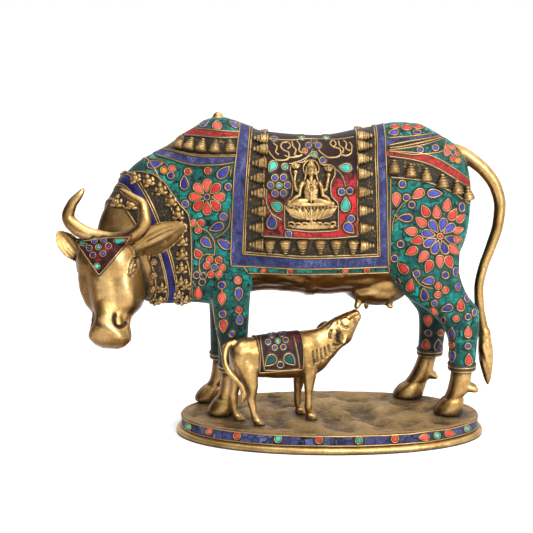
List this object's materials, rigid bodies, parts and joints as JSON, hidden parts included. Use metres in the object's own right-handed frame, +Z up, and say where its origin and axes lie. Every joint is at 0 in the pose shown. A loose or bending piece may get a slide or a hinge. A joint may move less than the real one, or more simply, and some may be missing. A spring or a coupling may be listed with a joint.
{
  "type": "kamdhenu cow statue",
  "caption": "Cast brass cow with stone inlay, head lowered and turned, wearing a saddle cloth with a seated goddess, nursing her calf on an oval plinth.",
  "frame": {"origin": "centre of the flat underside of the oval plinth", "axes": "+Z up, +X from the cow's head towards her tail, -Y the side that her head turns to and the calf stands on"},
  "size_m": [0.494, 0.18, 0.354],
  "materials": {
    "brass": "cast and hand polished, dark patina in the recesses",
    "ground_brass": "cast, hammered and darkened",
    "turquoise": "polished chips set in dark mastic",
    "coral": "polished chips set in dark mastic",
    "lapis": "polished chips set in dark mastic"
  },
  "bodies": {
    "root": {"plinth": "ground_brass", "plinth_band": "lapis", "cow": "brass", "calf": "brass", "fore_inlay": "turquoise", "hind_inlay": "turquoise", "cloth_frame": "lapis", "cloth_field": "coral", "cloth_hem_near": "turquoise", "cloth_hem_far": "turquoise", "neck_band": "lapis", "brow_plate": "coral", "calf_cloth": "coral"}
  },
  "joints": []
}
